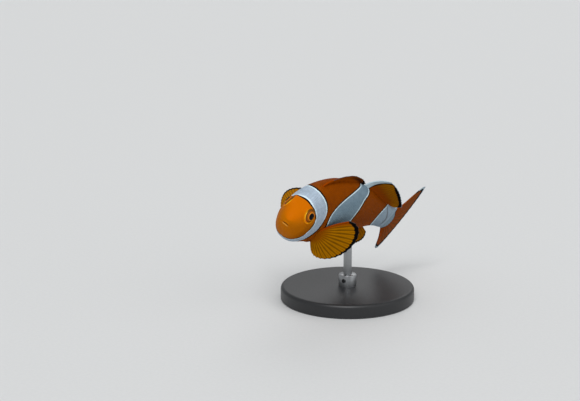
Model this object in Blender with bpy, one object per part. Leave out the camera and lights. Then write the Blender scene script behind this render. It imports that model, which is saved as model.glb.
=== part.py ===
"""Life-size model of a clownfish, held over a round base by one short rod.

Metres, +Z up. The fish is shaped straight, then bent along its spine and banked.
In its own axes +X is its left side, +Y runs from snout to tail and +Z is its back.
"""
import math

import bmesh
import bpy
import numpy as np
from mathutils import Vector

MM = 0.001

# Driving sizes of the fish
LENGTH = 64 * MM            # snout to the end of the tail stalk
GAP = 0.3 * MM              # between neighbouring solids
BACK_HEIGHT = 0.207         # the rest of this block is in lengths of the fish
BELLY_DEPTH = 0.211
HALF_WIDTH = 0.106
GILL_STATION = 0.315        # rear edge of the head at mid height
GILL_SLIT = 0.007           # opening behind the gill covers
STALK_STATION = 0.80        # where the trunk ends and the tail stalk begins
TAIL_STATION = 0.985        # where the tail stalk ends
MIDDLE_STATION = 0.42       # the point that the pose turns about
EYE_STATION = 0.105
EYE_HEIGHT = 0.052
EYE_OUT = 3.8 * MM          # middle of the eyeball, from the middle of the head
EYE_RADIUS = 2.5 * MM
EYE_DEPTH = 1.5 * MM        # half thickness of the flattened eyeball
EYE_FORWARD = (26, 14)      # degrees that the left eye and the right eye look forward
EYE_UPWARD = (22, 14)
MOUTH_HEIGHT = -2.0 * MM

# Outlines: where the nose ends, its power and bluntness, the taper's start and end, the stalk
BACK_OUTLINE = (0.42, 1.43, 0.63, 0.494, 0.941, 0.375)
BELLY_OUTLINE = (0.39, 1.75, 0.59, 0.515, 0.939, 0.353)
SIDE_OUTLINE = (0.31, 2.06, 0.47, 0.366, 1.061, 0.149)
SIDE_FULLNESS = 0.9         # power of the sine; less is boxier
GILL_LEAN = (0.055, 0.085)  # how far the gill edge leans forward above and below
COVER_TOP = 52              # degrees round from the back
COVER_BOTTOM = 146
COVER_DEPTH = 1.2 * MM
COVER_FRONT = 0.195
JAW_HINGE = (3.4 * MM, MOUTH_HEIGHT - 0.4 * MM)
JAW_CORNER = (5.9 * MM, -5.2 * MM)
JAW_BACK = 6.4 * MM
JAW_REACH = 14 * MM         # the prism that cuts the jaw reaches this far below the middle

# Bend of the spine, in degrees: towards the left side, and upwards
HEAD_TURN = -26.7
STALK_TURN = 4.4
CAUDAL_TURN = -25.0
HEAD_LIFT = -9.8
CAUDAL_LIFT = -14.6

# Fins. Rise is the rays' angle above the body and lean how far they tip to the left, in
# degrees; where a size has two values they are at the front and the rear of the fin
SPINY_SPAN = (0.265, 0.60)
SPINY_LENGTH = 6.7 * MM
SPINY_PROFILE = (0.72, 0.30, 0.13)   # length at the front, place of the peak, length at the rear
SPINY_RISE = (37, 17)
SPINY_LEAN = 14
SOFT_SPAN = (0.62, 0.88)
SOFT_LENGTH = 10.1 * MM
SOFT_PROFILE = (0.865, 0.58, 3)      # length at the front and the rear, and roundness
SOFT_RISE = (42, 2)
SOFT_LEAN = (36, 108)
ANAL_SPAN = (0.62, 0.835)
ANAL_LENGTH = 10.5 * MM
ANAL_PROFILE = (0.75, 0.45, 3)
ANAL_RISE = (37, 24)
ANAL_LEAN = 8
CAUDAL_LENGTH = 18.2 * MM
CAUDAL_SPREAD = 42
CAUDAL_ROOT = 4.4 * MM      # half height of its root
PECTORAL_LENGTH = 21.4 * MM
PECTORAL_FRONT = 0.47       # how much shorter the first ray is, and the last
PECTORAL_REAR = 0.90
PECTORAL_ANGLES = (98, 127)
PECTORAL_STATIONS = (0.333, 0.345)
PECTORAL_CUP = 1.2 * MM
LEFT_SPREAD = (30.6, 111, 0.08, 0.16)   # first ray's lift, sweep of the rays, flare at edge and middle
RIGHT_SPREAD = (-5, 68, 0.53, 0.73)
PELVIC_LENGTH = 15.5 * MM
PELVIC_PROFILE = (0.85, 0.5, 3)
PELVIC_ANGLES = (153, 161)
PELVIC_STATIONS = (0.39, 0.41)
PELVIC_DROP = (-1, 3)
PELVIC_FLARE = (0.07, 0.02)

# How the whole fish lies in the row's frame
BODY_PITCH = -12.6
BODY_BANK = 31.9
BODY_YAW = -6.7
PLACE = (2 * MM, -14.69 * MM, 36 * MM)   # middle of the fish, over the stand

# Stand
BASE_RADIUS = 24 * MM
BASE_HEIGHT = 5 * MM
BASE_BEVEL = 1.2 * MM
FOOT_BEVEL = 0.4 * MM
ROD_RADIUS = 1.5 * MM
ROD_TOP = 31 * MM           # inside the belly, in a hole of its own
FERRULE_RADIUS = 3.2 * MM
FERRULE_HEIGHT = 4 * MM
FERRULE_BEVEL = 0.5 * MM

RINGS_ROUND = 32
FIN_ROOT = 0.45 * MM        # half thickness of a fin at its root
FIN_EDGE = 0.28 * MM        # half thickness at its margin


def clear_scene():
    for old in list(bpy.data.objects):
        bpy.data.objects.remove(old, do_unlink=True)


def material(name, colour, roughness, metallic=0.0):
    made = bpy.data.materials.new(name)
    made.use_nodes = True
    shader = made.node_tree.nodes["Principled BSDF"]
    shader.inputs["Base Color"].default_value = (*colour, 1.0)
    shader.inputs["Roughness"].default_value = roughness
    shader.inputs["Metallic"].default_value = metallic
    return made


def ease(value, start, stop):
    """Smooth step from 0 at start to 1 at stop."""
    part = np.clip((value - start) / (stop - start), 0.0, 1.0)
    return part * part * (3.0 - 2.0 * part)


def mix(ends, share):
    """Value between two ends."""
    return ends[0] + (ends[1] - ends[0]) * share


# Shape of the straight body ---------------------------------------------------

def swell(station, nose_end, nose_power, nose_blunt, taper_start, taper_end, stalk):
    """One outline of the body: a blunt nose that grows to 1, then a taper to the stalk."""
    nose = (1.0 - max(0.0, 1.0 - station / nose_end) ** nose_power) ** nose_blunt
    return nose * (1.0 - (1.0 - stalk) * ease(station, taper_start, taper_end))


def section(station):
    """Middle height, half height and half width of the body, in metres."""
    station = max(station, 0.0)
    top = BACK_HEIGHT * swell(station, *BACK_OUTLINE)
    bottom = BELLY_DEPTH * swell(station, *BELLY_OUTLINE)
    width = HALF_WIDTH * swell(station, *SIDE_OUTLINE)
    return (top - bottom) / 2 * LENGTH, (top + bottom) / 2 * LENGTH, width * LENGTH


def body_point(station, angle, inset=0.0):
    """Point on the body; angle 0 is the back, a quarter turn is the left side."""
    middle, height, width = section(station)
    side = math.sin(angle)
    out = math.copysign(abs(side) ** SIDE_FULLNESS, side)
    up = middle + (height - inset) * math.cos(angle)
    return Vector(((width - inset) * out, station * LENGTH, up))


def gill_edge(angle):
    """Station of the head's rear edge, which runs down behind the gill covers."""
    upright = math.cos(angle)
    lean = GILL_LEAN[0] if upright > 0 else GILL_LEAN[1]
    return GILL_STATION - lean * upright * upright


# Bend of the spine ------------------------------------------------------------

def walk_spine(samples=500, start=-0.13, stop=1.5):
    """Stations, places and side and up axes of the spine, walked from the snout."""
    station = np.linspace(start, stop, samples)
    from_head = 1.0 - ease(station, 0.14, 0.45)
    turn = HEAD_TURN * from_head + STALK_TURN * ease(station, 0.60, 0.95)
    turn = np.radians(turn + CAUDAL_TURN * ease(station, 0.90, 1.10))
    lift = HEAD_LIFT * (1.0 - ease(station, 0.12, 0.40))
    lift = np.radians(lift + CAUDAL_LIFT * ease(station, 0.55, 1.05))
    along = np.stack([np.cos(lift) * np.sin(turn), np.cos(lift) * np.cos(turn), np.sin(lift)], -1)
    left = np.stack([np.cos(turn), -np.sin(turn), 0 * turn], -1)
    up = np.cross(left, along)
    step = (station[1] - station[0]) * LENGTH
    place = np.cumsum(np.vstack([np.zeros(3), (along[1:] + along[:-1]) / 2 * step]), axis=0)
    place -= [np.interp(MIDDLE_STATION, station, place[:, axis]) for axis in range(3)]
    return station, place, left, up


SPINE = walk_spine()


def bend(point):
    """Move a point of the straight fish to its place in the bent one."""
    station, place, left, up = SPINE
    here = point.y / LENGTH
    look = [[np.interp(here, station, row[:, axis]) for axis in range(3)] for row in (place, left, up)]
    return Vector(look[0]) + Vector(look[1]) * point.x + Vector(look[2]) * point.z


# Making objects ---------------------------------------------------------------

def add_object(name, points, faces, paint, parent=None, sharp=40):
    mesh = bpy.data.meshes.new(name)
    mesh.from_pydata([tuple(point) for point in points], [], faces)
    work = bmesh.new()
    work.from_mesh(mesh)
    bmesh.ops.recalc_face_normals(work, faces=work.faces)
    work.to_mesh(mesh)
    work.free()
    mesh.shade_smooth()
    mesh.set_sharp_from_angle(angle=math.radians(sharp))
    made = bpy.data.objects.new(name, mesh)
    bpy.context.collection.objects.link(made)
    made.parent = parent
    if paint:
        mesh.materials.append(paint)
    return made


def bent_solid(name, points, faces, paint, pose, sharp=40):
    return add_object(name, [bend(point) for point in points], faces, paint, pose, sharp)


def tube(rings, closed_tip):
    """Faces of a tube through equal rings, its ends closed by fans to a middle point."""
    count = len(rings[0])
    points = [point for ring in rings for point in ring]
    faces = []
    for lower in range(len(rings) - 1):
        for side in range(count):
            after = (side + 1) % count
            low, high = lower * count, (lower + 1) * count
            faces.append((low + side, low + after, high + after, high + side))
    for base, ring in ((0, rings[0]), ((len(rings) - 1) * count, rings[-1])):
        points.append(sum(ring, Vector()) / count if base or not closed_tip else Vector((0, 0, 0)))
        faces += [(base + side, base + (side + 1) % count, len(points) - 1) for side in range(count)]
    return points, faces


def body_length(first, last, steps, closed_tip=False, crowd=1.0):
    """Tube of the body between two edges, each a function from angle to station."""
    angles = [2 * math.pi * side / RINGS_ROUND for side in range(RINGS_ROUND)]
    rings = []
    for step in range(1 if closed_tip else 0, steps + 1):
        share = (step / steps) ** crowd
        rings.append([body_point(first(a) + (last(a) - first(a)) * share, a) for a in angles])
    return tube(rings, closed_tip)


def patch(first, last, low, high, outer, inner, steps=(8, 10)):
    """Closed plate over part of the body, between two stations and two angles."""
    layers = []
    for inset in (outer, inner):
        for along in range(steps[0] + 1):
            for around in range(steps[1] + 1):
                angle = low + (high - low) * around / steps[1]
                station = first(angle) + (last(angle) - first(angle)) * along / steps[0]
                layers.append(body_point(station, angle, inset))
    return layers, plate_faces(*steps)


def plate_faces(rows, columns):
    """Faces of a closed plate made of two equal grids of points."""
    wide = columns + 1
    size = (rows + 1) * wide
    faces = []
    for row in range(rows):
        for column in range(columns):
            corner = row * wide + column
            quad = (corner, corner + 1, corner + wide + 1, corner + wide)
            faces.append(quad)
            faces.append(tuple(size + index for index in reversed(quad)))
    rim = [column for column in range(columns)]
    rim += [row * wide + columns for row in range(rows)]
    rim += [rows * wide + column for column in range(columns, 0, -1)]
    rim += [row * wide for row in range(rows, 0, -1)]
    for here, after in zip(rim, rim[1:] + rim[:1]):
        faces.append((here, after, size + after, size + here))
    return faces


def fin(name, middle, rays, rows, paint, pose, root=FIN_ROOT):
    """Thin plate round the surface middle(across, out), both running from 0 to 1."""
    small = 0.01
    sides = [[], []]
    for ray in range(rays + 1):
        for row in range(rows + 1):
            across, out = ray / rays, row / rows
            here = middle(across, out)
            cross = middle(min(1, across + small), out) - middle(max(0, across - small), out)
            run = middle(across, min(1, out + small)) - middle(across, max(0, out - small))
            normal = cross.cross(run).normalized()
            thick = root + (FIN_EDGE - root) * out
            sides[0].append(here + normal * thick)
            sides[1].append(here - normal * thick)
    return bent_solid(name, sides[0] + sides[1], plate_faces(rays, rows), paint, pose)


def cut(target, cutter, operation="DIFFERENCE"):
    step = target.modifiers.new(cutter.name, "BOOLEAN")
    step.operation = operation
    step.object = cutter
    step.solver = "EXACT"
    cutter.hide_render = True
    cutter.display_type = "WIRE"


# Flesh ------------------------------------------------------------------------

def jaw_wedge(grow):
    """Prism that parts the lower jaw from the head, larger by grow."""
    hinge = (JAW_HINGE[0] + grow, JAW_HINGE[1] + grow)
    corner = (JAW_CORNER[0] + grow, JAW_CORNER[1])
    back = (JAW_BACK + grow, -JAW_REACH)
    outline = [(-2 * MM, MOUTH_HEIGHT + grow), hinge, corner, back, (-2 * MM, -JAW_REACH)]
    points = [Vector((side * 9 * MM, y, z)) for side in (-1, 1) for y, z in outline]
    count = len(outline)
    faces = [tuple(range(count)), tuple(range(2 * count - 1, count - 1, -1))]
    faces += [(i, (i + 1) % count, count + (i + 1) % count, count + i) for i in range(count)]
    return points, faces


def gill_plate(side, grow):
    """Points and faces of one gill cover, or of the pocket round it."""
    slack = grow / (9 * MM)
    top, bottom = math.radians(COVER_TOP) - slack, math.radians(COVER_BOTTOM) + slack
    low, high = sorted((side * top, side * bottom))
    front = lambda angle: COVER_FRONT + 0.03 * math.cos(angle) ** 2 - grow / LENGTH
    rear = lambda angle: gill_edge(angle) - GILL_SLIT + grow * 6 / LENGTH
    return patch(front, rear, low, high, -3 * grow, COVER_DEPTH + grow)


def eyeball(name, side, grow, paint, pose, around=20, layers=10):
    """Flattened ball in the side of the head, its poles on the line of sight."""
    centre = Vector((side * EYE_OUT, EYE_STATION * LENGTH, EYE_HEIGHT * LENGTH))
    look = 0 if side > 0 else 1
    forward, upward = math.radians(EYE_FORWARD[look]), math.radians(EYE_UPWARD[look])
    sight = Vector((side * math.cos(forward), -math.sin(forward), math.tan(upward))).normalized()
    back = sight.cross(Vector((0, 0, 1))).normalized()
    up = back.cross(sight)
    rings = []
    for layer in range(1, layers):
        angle = math.pi * layer / layers
        wide, deep = (EYE_RADIUS + grow) * math.sin(angle), (EYE_DEPTH + grow) * math.cos(angle)
        middle = centre + sight * deep
        turns = [2 * math.pi * step / around for step in range(around)]
        rings.append([middle + (back * math.cos(t) + up * math.sin(t)) * wide for t in turns])
    points, faces = tube(rings, closed_tip=False)
    points[-2] = centre + sight * (EYE_DEPTH + grow)
    points[-1] = centre - sight * (EYE_DEPTH + grow)
    return bent_solid(name, points, faces, paint, pose)


def make_head(pose, orange):
    points, faces = body_length(lambda angle: 0.0, gill_edge, 18, closed_tip=True, crowd=1.6)
    head = bent_solid("head", points, faces, orange, pose)
    jaw = bent_solid("lower_jaw", points, faces, orange, pose)
    cut(jaw, bent_solid("cut_jaw", *jaw_wedge(0.0), None, pose), "INTERSECT")
    cut(head, bent_solid("cut_jaw_gap", *jaw_wedge(GAP), None, pose))
    for side, word in ((1, "left"), (-1, "right")):
        bent_solid("gill_cover_" + word, *gill_plate(side, 0.0), orange, pose)
        cut(head, bent_solid("cut_gill_" + word, *gill_plate(side, GAP), None, pose))
        dark = material("eye_" + word, (0.20, 0.05, 0.01), 0.1)
        eyeball("eye_" + word, side, 0.0, dark, pose)
        cut(head, eyeball("cut_socket_" + word, side, GAP, None, pose))


def make_trunk(pose, orange):
    front = lambda angle: gill_edge(angle) + GAP / LENGTH
    points, faces = body_length(front, lambda angle: STALK_STATION, 18)
    return bent_solid("trunk", points, faces, orange, pose)


def make_stalk(pose, white):
    start = STALK_STATION + GAP / LENGTH
    points, faces = body_length(lambda angle: start, lambda angle: TAIL_STATION, 7)
    return bent_solid("tail_stalk", points, faces, white, pose)


# Fins -------------------------------------------------------------------------

def ridge_point(station, sign):
    """Point just off the middle line of the back (sign 1) or the belly (sign -1)."""
    middle, height, _ = section(station)
    return Vector((0, station * LENGTH, middle + sign * (height + GAP)))


def median_fin(sign, first, last, length, rise, lean):
    """Middle surface of a fin on the back or the belly.

    length, rise and lean are functions of the place along the fin: the ray's length,
    its angle above the body and how far it leans to the fish's left, in degrees.
    """
    def middle(across, out):
        tilt, tip = math.radians(rise(across)), math.radians(lean(across)) * out
        ray = Vector((math.sin(tip), 0, sign * math.cos(tip))) * math.sin(tilt)
        ray.y = math.cos(tilt)
        return ridge_point(first + (last - first) * across, sign) + ray * length(across) * out
    return middle


def rounded(across, front, rear, power=2.0):
    """1 in the middle of a fin, falling to front and rear at its two ends."""
    away = 2 * across - 1
    end = front if away < 0 else rear
    return 1 - (1 - end) * abs(away) ** power


def peaked(across, front, peak, rear):
    """Grows from front to 1 at peak, then sinks to rear at the end of the fin."""
    if across < peak:
        return front + (1 - front) * math.sin(math.pi / 2 * across / peak)
    return 1 - (1 - rear) * ((across - peak) / (1 - peak)) ** 1.3


def make_median_fins(pose, orange):
    spines = median_fin(1, *SPINY_SPAN, lambda a: SPINY_LENGTH * peaked(a, *SPINY_PROFILE),
                        lambda a: mix(SPINY_RISE, a), lambda a: SPINY_LEAN)
    fin("dorsal_fin_spiny", spines, 22, 3, orange, pose)
    soft = median_fin(1, *SOFT_SPAN, lambda a: SOFT_LENGTH * rounded(a, *SOFT_PROFILE),
                      lambda a: mix(SOFT_RISE, a), lambda a: mix(SOFT_LEAN, a))
    fin("dorsal_fin_soft", soft, 16, 6, orange, pose)
    anal = median_fin(-1, *ANAL_SPAN, lambda a: ANAL_LENGTH * rounded(a, *ANAL_PROFILE),
                      lambda a: mix(ANAL_RISE, a), lambda a: ANAL_LEAN)
    fin("anal_fin", anal, 16, 6, orange, pose)


def caudal_surface(across, out):
    """Middle surface of the tail fin, from its lower corner to its upper one."""
    place = 2 * across - 1
    spread = math.radians(CAUDAL_SPREAD) * place
    root = Vector((0, TAIL_STATION * LENGTH + GAP, place * CAUDAL_ROOT))
    length = CAUDAL_LENGTH * (1 + 0.10 * place ** 2 - 0.28 * place ** 12)
    return root + Vector((0, math.cos(spread), math.sin(spread))) * length * out


def pectoral_surface(side, first_lift, sweep, flare_edge, flare_middle):
    """Middle surface of a breast fin.

    Its rays sweep down from first_lift, in degrees, and stand out from the flank by the flares.
    """
    def middle(across, out):
        angle = side * math.radians(mix(PECTORAL_ANGLES, across))
        station = mix(PECTORAL_STATIONS, across)
        outward = body_point(station, angle) - Vector((0, station * LENGTH, 0))
        root = body_point(station, angle) + outward.normalized() * (GAP + FIN_ROOT)
        drop = math.radians(first_lift - sweep * across)
        flare = flare_edge + flare_middle * math.sin(math.pi * across)
        ray = Vector((side * flare, math.cos(drop), math.sin(drop))).normalized()
        short = PECTORAL_FRONT * (1 - across) ** 5 + PECTORAL_REAR * across ** 1.54
        length = PECTORAL_LENGTH * (1 - short)
        cup = Vector((side * PECTORAL_CUP * out * out, 0, 0))
        return root + ray * length * out + cup
    return middle


def pelvic_surface(side):
    """Middle surface of a belly fin, which trails back below the body."""
    def middle(across, out):
        angle = side * math.radians(mix(PELVIC_ANGLES, across))
        down = Vector((side * 0.2, 0, -1)).normalized()
        root = body_point(mix(PELVIC_STATIONS, across), angle) + down * (GAP + FIN_ROOT)
        drop = math.radians(mix(PELVIC_DROP, across))
        ray = Vector((side * mix(PELVIC_FLARE, across), math.cos(drop), math.sin(drop))).normalized()
        return root + ray * PELVIC_LENGTH * rounded(across, *PELVIC_PROFILE) * out
    return middle


def make_paired_fins(pose, orange):
    for side, word, spread in ((1, "left", LEFT_SPREAD), (-1, "right", RIGHT_SPREAD)):
        fin("pectoral_fin_" + word, pectoral_surface(side, *spread), 14, 6, orange, pose)
        fin("pelvic_fin_" + word, pelvic_surface(side), 8, 6, orange, pose)


# Stand ------------------------------------------------------------------------

def turned(name, profile, paint, segments=40):
    """Solid of revolution about Z from a profile of (radius, height) points."""
    angles = [2 * math.pi * step / segments for step in range(segments)]
    rings = [[Vector((r * math.cos(a), r * math.sin(a), z)) for a in angles] for r, z in profile]
    points, faces = tube(rings, closed_tip=False)
    return add_object(name, points, faces, paint, sharp=30)


def make_stand(trunk):
    black = material("stand_black", (0.012, 0.012, 0.013), 0.45)
    steel = material("stand_steel", (0.55, 0.55, 0.56), 0.3, metallic=1.0)
    profile = [(BASE_RADIUS - FOOT_BEVEL, 0), (BASE_RADIUS, FOOT_BEVEL)]
    for step in range(5):
        turn = math.pi / 2 * step / 4
        drop = BASE_BEVEL * (1 - math.sin(turn))
        profile.append((BASE_RADIUS - BASE_BEVEL * (1 - math.cos(turn)), BASE_HEIGHT - drop))
    turned("stand_base", profile, black)
    foot = BASE_HEIGHT + GAP
    shoulder = (FERRULE_RADIUS, foot + FERRULE_HEIGHT - FERRULE_BEVEL)
    lip = (FERRULE_RADIUS - FERRULE_BEVEL, foot + FERRULE_HEIGHT)
    turned("stand_ferrule", [(FERRULE_RADIUS, foot), shoulder, lip], steel, 32)
    start = foot + FERRULE_HEIGHT + GAP
    turned("stand_rod", [(ROD_RADIUS, start), (ROD_RADIUS, ROD_TOP)], steel, 24)
    bore = ROD_RADIUS + GAP
    cut(trunk, turned("cut_rod", [(bore, start), (bore, ROD_TOP + GAP)], steel, 24))


def main():
    clear_scene()
    pose = bpy.data.objects.new("fish_pose", None)
    bpy.context.collection.objects.link(pose)
    pose.rotation_euler = [math.radians(turn) for turn in (BODY_PITCH, BODY_BANK, BODY_YAW)]
    pose.location = PLACE
    orange = material("orange_skin", (0.75, 0.20, 0.01), 0.45)
    white = material("white_skin", (0.62, 0.68, 0.70), 0.45)
    fins = material("orange_fin", (0.62, 0.24, 0.02), 0.5)
    make_head(pose, orange)
    trunk = make_trunk(pose, orange)
    make_stalk(pose, white)
    make_median_fins(pose, fins)
    fin("caudal_fin", caudal_surface, 20, 6, fins, pose)
    make_paired_fins(pose, fins)
    make_stand(trunk)


main()
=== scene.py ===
import math

import bmesh
import bpy
import numpy as np
from mathutils import Euler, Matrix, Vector


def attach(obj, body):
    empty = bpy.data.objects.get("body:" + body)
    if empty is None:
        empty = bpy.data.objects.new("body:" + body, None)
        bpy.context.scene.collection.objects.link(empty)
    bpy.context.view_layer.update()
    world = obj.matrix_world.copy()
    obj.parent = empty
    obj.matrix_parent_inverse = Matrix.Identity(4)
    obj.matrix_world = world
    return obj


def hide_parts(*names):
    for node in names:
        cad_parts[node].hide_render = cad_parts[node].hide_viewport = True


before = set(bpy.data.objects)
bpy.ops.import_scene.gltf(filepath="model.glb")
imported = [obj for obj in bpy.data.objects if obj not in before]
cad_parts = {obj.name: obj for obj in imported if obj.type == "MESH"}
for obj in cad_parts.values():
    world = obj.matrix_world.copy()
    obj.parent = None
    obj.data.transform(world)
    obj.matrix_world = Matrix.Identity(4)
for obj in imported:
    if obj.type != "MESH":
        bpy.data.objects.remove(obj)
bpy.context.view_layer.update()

# A life-size clownfish on a plain display stand. Metres, +Z up. In the fish's own axes +X is
# its left side, +Y runs from the snout to the tail and +Z is its back. A station is a place
# along the body in body lengths; an angle runs round the body from the back down the left side.
mm = 0.001


# Helpers

def ease(value, start, stop):
    part = np.clip((value - start) / (stop - start), 0.0, 1.0)
    return part * part * (3.0 - 2.0 * part)


def fade(value, start, stop):
    return 1.0 - ease(value, start, stop)


def hump(value, middle, width):
    return np.exp(-((value - middle) / width) ** 2)


def unit(vectors):
    return vectors / np.maximum(np.linalg.norm(vectors, axis=-1, keepdims=True), 1e-12)


def wrapped(angle):  # the same angle between minus and plus half a turn
    return (angle + np.pi) % (2 * np.pi) - np.pi


def stack(*parts):
    return np.stack(np.broadcast_arrays(*parts), axis=-1)


def hexColour(text):  # sRGB hex to the linear colour that a shader takes
    parts = [int(text[i:i + 2], 16) / 255 for i in (1, 3, 5)]
    return [p / 12.92 if p <= 0.04045 else ((p + 0.055) / 1.055) ** 2.4 for p in parts] + [1.0]


rgba = {"data_type": "RGBA"}
smooth = {"interpolation_type": "SMOOTHSTEP"}
times = {"operation": "MULTIPLY"}
timesPlus = {"operation": "MULTIPLY_ADD"}
plus = {"operation": "ADD"}


def setSockets(tree, node, sockets):  # a string is a colour, and a node stands for its first output in use
    for key, value in sockets.items():
        if isinstance(value, bpy.types.Node):
            value = next(output for output in value.outputs if output.enabled)
        if isinstance(value, bpy.types.NodeSocket):
            tree.links.new(value, node.inputs[key])
        else:
            node.inputs[key].default_value = hexColour(value) if isinstance(value, str) else value


def addNode(tree, kind, settings, sockets):
    made = tree.nodes.new("ShaderNode" + kind)
    for name, value in settings.items():
        setattr(made, name, value)
    setSockets(tree, made, sockets)
    return made


def newMaterial(name):
    made = bpy.data.materials.new(name)
    made.use_nodes = True
    return made, made.node_tree, made.node_tree.nodes["Principled BSDF"]


def ringFaces(rings, around):  # quads between rings of points that follow one another
    faces = []
    for low in range(0, (rings - 1) * around, around):
        for here in range(around):
            after = (here + 1) % around
            faces.append((low + here, low + around + here, low + around + after, low + after))
    return faces


def poleFaces(rings, around):  # triangles that close the first and the last ring on the last two points
    faces = []
    for here in range(around):
        after, end = (here + 1) % around, (rings - 1) * around
        faces += [(here, after, rings * around), (end + after, end + here, rings * around + 1)]
    return faces


def addObject(name, data):
    made = bpy.data.objects.new(name, data)
    bpy.context.collection.objects.link(made)
    return made


def addPiece(name, points, faces, material, slot, nodes=(), sharp=None, marks=None, uv=None):
    mesh = bpy.data.meshes.new(name)
    mesh.from_pydata(points.tolist(), [], faces)
    work = bmesh.new()
    work.from_mesh(mesh)
    bmesh.ops.recalc_face_normals(work, faces=work.faces)
    work.to_mesh(mesh)
    work.free()
    for key, values in (marks or {}).items():
        kind = "FLOAT_VECTOR" if values.ndim == 2 else "FLOAT"
        layer = mesh.attributes.new(key, kind, "POINT")
        layer.data.foreach_set("vector" if values.ndim == 2 else "value", values.ravel())
    if uv is not None:
        corners = np.empty(len(mesh.loops), dtype=np.int32)
        mesh.loops.foreach_get("vertex_index", corners)
        layer = mesh.uv_layers.new(name="OFBake")
        layer.data.foreach_set("uv", uv[corners].ravel())
    mesh.shade_smooth()
    if sharp:
        mesh.set_sharp_from_angle(angle=math.radians(sharp))
    mesh.materials.append(material)
    piece = addObject(name, mesh)
    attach(piece, "root")
    if nodes:
        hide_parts(*nodes)
    return piece


# Form of the body, as the solids have it

body = {
    "length": 64 * mm,
    "gap": 0.3 * mm,
    # size, end, power and bluntness of the nose, start and end of the taper, and what is left at the tail
    "back": (0.207, 0.42, 1.43, 0.63, 0.494, 0.941, 0.375),
    "belly": (0.211, 0.39, 1.75, 0.59, 0.515, 0.939, 0.353),
    "side": (0.106, 0.31, 2.06, 0.47, 0.366, 1.061, 0.149),
    "fullness": 0.9,  # power of the sine that rounds the sides
    "tail": 0.985,  # station where the flesh ends
    "middle": 0.42,  # station that the pose turns about
    "coat": 0.12 * mm,  # how far the skin lies inside the solids, to leave room for the scales
}
pose = {  # degrees of each bend, and the stations it runs between
    "headTurn": (-26.7, 0.14, 0.45),
    "stalkTurn": (4.4, 0.60, 0.95),
    "caudalTurn": (-25.0, 0.90, 1.10),
    "headLift": (-9.8, 0.12, 0.40),
    "caudalLift": (-14.6, 0.55, 1.05),
    "lean": (-12.6, 31.9, -6.7),  # pitch, bank and yaw of the whole fish
    "place": (2 * mm, -14.69 * mm, 36 * mm),
}


def swell(station, size, noseEnd, nosePower, noseBlunt, taperStart, taperEnd, stalk):
    nose = (1.0 - np.maximum(0.0, 1.0 - station / noseEnd) ** nosePower) ** noseBlunt
    return size * body["length"] * nose * (1.0 - (1.0 - stalk) * ease(station, taperStart, taperEnd))


def section(station):  # middle height, half height and half width
    station = np.maximum(station, 0.0)
    top, bottom, width = (swell(station, *body[key]) for key in ("back", "belly", "side"))
    close = ease(station, 0.945, body["tail"])  # the flesh thins to the root of the tail fin
    return (top - bottom) / 2, (top + bottom) / 2, width + (0.55 * mm - width) * close


def bodyPoint(station, angle, inset=0.0):
    middle, height, width = section(station)
    side = np.sin(angle)
    out = np.sign(side) * np.abs(side) ** body["fullness"]
    across = np.maximum(width - inset, 0.2 * width) * out
    up = middle + np.maximum(height - inset, 0.2 * height) * np.cos(angle)
    return stack(across, station * body["length"], up)


def gillEdge(angle):
    upright = np.cos(angle)
    return 0.315 - np.where(upright > 0, 0.055, 0.085) * upright * upright


def walkSpine(samples=500, start=-0.13, stop=1.5):
    station = np.linspace(start, stop, samples)
    bend = {}
    for key, shape in (("headTurn", fade), ("stalkTurn", ease), ("caudalTurn", ease),
                       ("headLift", fade), ("caudalLift", ease)):
        degrees, first, last = pose[key]
        bend[key] = degrees * shape(station, first, last)
    turn = np.radians(bend["headTurn"] + bend["stalkTurn"] + bend["caudalTurn"])
    lift = np.radians(bend["headLift"] + bend["caudalLift"])
    along = stack(np.cos(lift) * np.sin(turn), np.cos(lift) * np.cos(turn), np.sin(lift))
    left = stack(np.cos(turn), -np.sin(turn), 0.0)
    up = np.cross(left, along)
    step = (station[1] - station[0]) * body["length"]
    place = np.cumsum(np.vstack([np.zeros(3), (along[1:] + along[:-1]) / 2 * step]), axis=0)
    place -= [np.interp(body["middle"], station, place[:, axis]) for axis in range(3)]
    return station, place, left, up


spine = walkSpine()
leanMatrix = np.array(Euler([math.radians(turn) for turn in pose["lean"]]).to_matrix())


def posed(points):  # a point of the straight fish, moved to where it is on the finished model
    station, place, left, up = spine
    here = points[..., 1] / body["length"]
    middle, side, back = (
        stack(*(np.interp(here, station, row[:, axis]) for axis in range(3))) for row in (place, left, up))
    bent = middle + side * points[..., :1] + back * points[..., 2:]
    return bent @ leanMatrix.T + np.array(pose["place"])


# Camera, floor and light

view = {
    "azimuth": 46.5,
    "elevation": 14.0,
    "distance": 498 * mm,
    "lens": 89.1,
    "right": 11.38 * mm,  # how far the fish's middle sits to the right of the middle of the view
    "below": 3.09 * mm,
}


def towards(azimuth, elevation):  # unit vector out to a place round the fish, in degrees
    a, e = math.radians(azimuth), math.radians(elevation)
    return Vector((math.sin(a) * math.cos(e), -math.cos(a) * math.cos(e), math.sin(e)))


def makeCamera():
    toCamera = towards(view["azimuth"], view["elevation"])
    right = towards(view["azimuth"] + 90.0, 0.0)
    target = Vector(pose["place"]) - right * view["right"] + toCamera.cross(right) * view["below"]
    camera = addObject("camera", bpy.data.cameras.new("camera"))
    camera.data.lens = view["lens"]
    camera.data.sensor_width = 36
    camera.data.clip_start = 0.01
    camera.location = target + toCamera * view["distance"]
    camera.rotation_euler = (-toCamera).to_track_quat("-Z", "Y").to_euler()
    bpy.context.scene.camera = camera


lights = {  # azimuth and elevation of each softbox, its apparent size in degrees, and its strength
    "key": (40.0, 48.0, 36.0, 1.9),
    "fill": (110.0, 20.0, 60.0, 0.45),
    "back": (215.0, 40.0, 40.0, 0.40),
    "roomStrength": 0.46,
    "roomColour": "#F4F6F8",
    "backdropStrength": 0.78,  # how bright the far wall looks, to meet the floor without a line
    "backdropColour": "#F2F3F4",
}


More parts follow.
